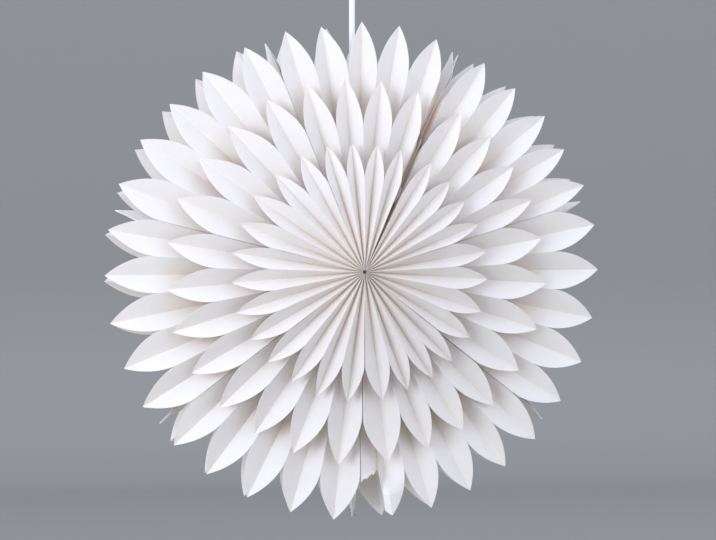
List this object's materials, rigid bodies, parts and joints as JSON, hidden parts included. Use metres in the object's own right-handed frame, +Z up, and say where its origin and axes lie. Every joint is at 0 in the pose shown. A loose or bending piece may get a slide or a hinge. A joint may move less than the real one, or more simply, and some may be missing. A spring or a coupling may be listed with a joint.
{
  "type": "folded paper star pendant light",
  "caption": "Round folded paper star pendant with tiers of pleated petals front and back, on a straight cord from a ceiling canopy.",
  "frame": {"origin": "on the ceiling at the top face of the bracket, on the cord's axis", "axes": "+Z up into the ceiling, -Y towards the front of the star, +X to the viewer's right"},
  "size_m": [0.4939, 0.207, 0.614],
  "materials": {
    "star_paper": "uncoated white paper, matte",
    "seam_card": "uncoated white card, matte",
    "bracket_steel": "zinc plated",
    "canopy_paint": "satin white paint",
    "screw_steel": "bright zinc",
    "white_plastic": "satin white",
    "cord_sheath": "smooth white sheath",
    "wire_steel": "bright drawn wire",
    "bulb_cap_metal": "nickel plated",
    "bulb_opal_glass": "opal, satin",
    "tie_thread": "white cotton thread"
  },
  "bodies": {
    "ceiling_fitting": {"ceiling_bracket": "bracket_steel", "canopy": "canopy_paint", "canopy_screws": "screw_steel", "cord_grip": "white_plastic"},
    "hanging_cord": {"cord": "cord_sheath"},
    "lamp_and_top": {"lampholder": "white_plastic", "spreader_wire": "wire_steel", "seam_rib_1": "seam_card", "seam_rib_7": "seam_card", "top_front_inner_petals": "star_paper", "top_front_middle_petals": "star_paper", "top_front_outer_petals": "star_paper", "top_back_inner_petals": "star_paper", "top_back_middle_petals": "star_paper", "top_back_outer_petals": "star_paper"},
    "bulb": {"bulb_cap": "bulb_cap_metal", "bulb_glass": "bulb_opal_glass"},
    "right_fold_1": {"seam_rib_2": "seam_card", "upper_right_front_inner_petals": "star_paper", "upper_right_front_middle_petals": "star_paper", "upper_right_front_outer_petals": "star_paper", "upper_right_back_inner_petals": "star_paper", "upper_right_back_middle_petals": "star_paper", "upper_right_back_outer_petals": "star_paper"},
    "right_fold_2": {"seam_rib_3": "seam_card", "right_front_inner_petals": "star_paper", "right_front_middle_petals": "star_paper", "right_front_outer_petals": "star_paper", "right_back_inner_petals": "star_paper", "right_back_middle_petals": "star_paper", "right_back_outer_petals": "star_paper"},
    "right_fold_3": {"seam_cover_right": "seam_card", "lower_right_front_inner_petals": "star_paper", "lower_right_front_middle_petals": "star_paper", "lower_right_front_outer_petals": "star_paper", "lower_right_back_inner_petals": "star_paper", "lower_right_back_middle_petals": "star_paper", "lower_right_back_outer_petals": "star_paper"},
    "left_fold_1": {"seam_rib_6": "seam_card", "upper_left_front_inner_petals": "star_paper", "upper_left_front_middle_petals": "star_paper", "upper_left_front_outer_petals": "star_paper", "upper_left_back_inner_petals": "star_paper", "upper_left_back_middle_petals": "star_paper", "upper_left_back_outer_petals": "star_paper"},
    "left_fold_2": {"seam_rib_5": "seam_card", "left_front_inner_petals": "star_paper", "left_front_middle_petals": "star_paper", "left_front_outer_petals": "star_paper", "left_back_inner_petals": "star_paper", "left_back_middle_petals": "star_paper", "left_back_outer_petals": "star_paper"},
    "left_fold_3": {"seam_cover_left": "seam_card", "seam_tie": "tie_thread", "lower_left_front_inner_petals": "star_paper", "lower_left_front_middle_petals": "star_paper", "lower_left_front_outer_petals": "star_paper", "lower_left_back_inner_petals": "star_paper", "lower_left_back_middle_petals": "star_paper", "lower_left_back_outer_petals": "star_paper"}
  },
  "joints": [
    {"name": "pendant_swing", "type": "hinge", "parent": "ceiling_fitting", "child": "hanging_cord", "pos_m": [0, 0, -0.062], "axis": [0, 1, 0], "range_deg": [-30, 30]},
    {"name": "shade_turn", "type": "hinge", "parent": "hanging_cord", "child": "lamp_and_top", "pos_m": [0, 0, -0.262], "axis": [0, 0, 1], "range_deg": [-180, 180]},
    {"name": "bulb_turn", "type": "hinge", "parent": "lamp_and_top", "child": "bulb", "pos_m": [0, 0, -0.312], "axis": [0, 0, -1], "range_deg": [0, 720]},
    {"name": "right_fold_1", "type": "hinge", "parent": "lamp_and_top", "child": "right_fold_1", "pos_m": [0, 0, -0.362], "axis": [0, -1, 0], "range_deg": [0, 40.3], "deforming": ["upper_right_front_inner_petals", "upper_right_front_middle_petals", "upper_right_front_outer_petals", "upper_right_back_inner_petals", "upper_right_back_middle_petals", "upper_right_back_outer_petals"]},
    {"name": "right_fold_2", "type": "hinge", "parent": "right_fold_1", "child": "right_fold_2", "pos_m": [0, 0, -0.362], "axis": [0, -1, 0], "range_deg": [0, 46.8], "deforming": ["right_front_inner_petals", "right_front_middle_petals", "right_front_outer_petals", "right_back_inner_petals", "right_back_middle_petals", "right_back_outer_petals"]},
    {"name": "right_fold_3", "type": "hinge", "parent": "right_fold_2", "child": "right_fold_3", "pos_m": [0, 0, -0.362], "axis": [0, -1, 0], "range_deg": [0, 45.1], "deforming": ["lower_right_front_inner_petals", "lower_right_front_middle_petals", "lower_right_front_outer_petals", "lower_right_back_inner_petals", "lower_right_back_middle_petals", "lower_right_back_outer_petals"]},
    {"name": "left_fold_1", "type": "hinge", "parent": "lamp_and_top", "child": "left_fold_1", "pos_m": [0, 0, -0.362], "axis": [0, 1, 0], "range_deg": [0, 46.7], "deforming": ["upper_left_front_inner_petals", "upper_left_front_middle_petals", "upper_left_front_outer_petals", "upper_left_back_inner_petals", "upper_left_back_middle_petals", "upper_left_back_outer_petals"]},
    {"name": "left_fold_2", "type": "hinge", "parent": "left_fold_1", "child": "left_fold_2", "pos_m": [0, 0, -0.362], "axis": [0, 1, 0], "range_deg": [0, 45], "deforming": ["left_front_inner_petals", "left_front_middle_petals", "left_front_outer_petals", "left_back_inner_petals", "left_back_middle_petals", "left_back_outer_petals"]},
    {"name": "left_fold_3", "type": "hinge", "parent": "left_fold_2", "child": "left_fold_3", "pos_m": [0, 0, -0.362], "axis": [0, 1, 0], "range_deg": [0, 44.6], "deforming": ["lower_left_front_inner_petals", "lower_left_front_middle_petals", "lower_left_front_outer_petals", "lower_left_back_inner_petals", "lower_left_back_middle_petals", "lower_left_back_outer_petals", "seam_tie"]}
  ],
  "couplings": [
    {"joint": "right_fold_2", "follows": "right_fold_1", "ratio": 1.1596},
    {"joint": "right_fold_3", "follows": "right_fold_1", "ratio": 1.117},
    {"joint": "left_fold_2", "follows": "left_fold_1", "ratio": 0.9633},
    {"joint": "left_fold_3", "follows": "left_fold_1", "ratio": 0.9541}
  ]
}
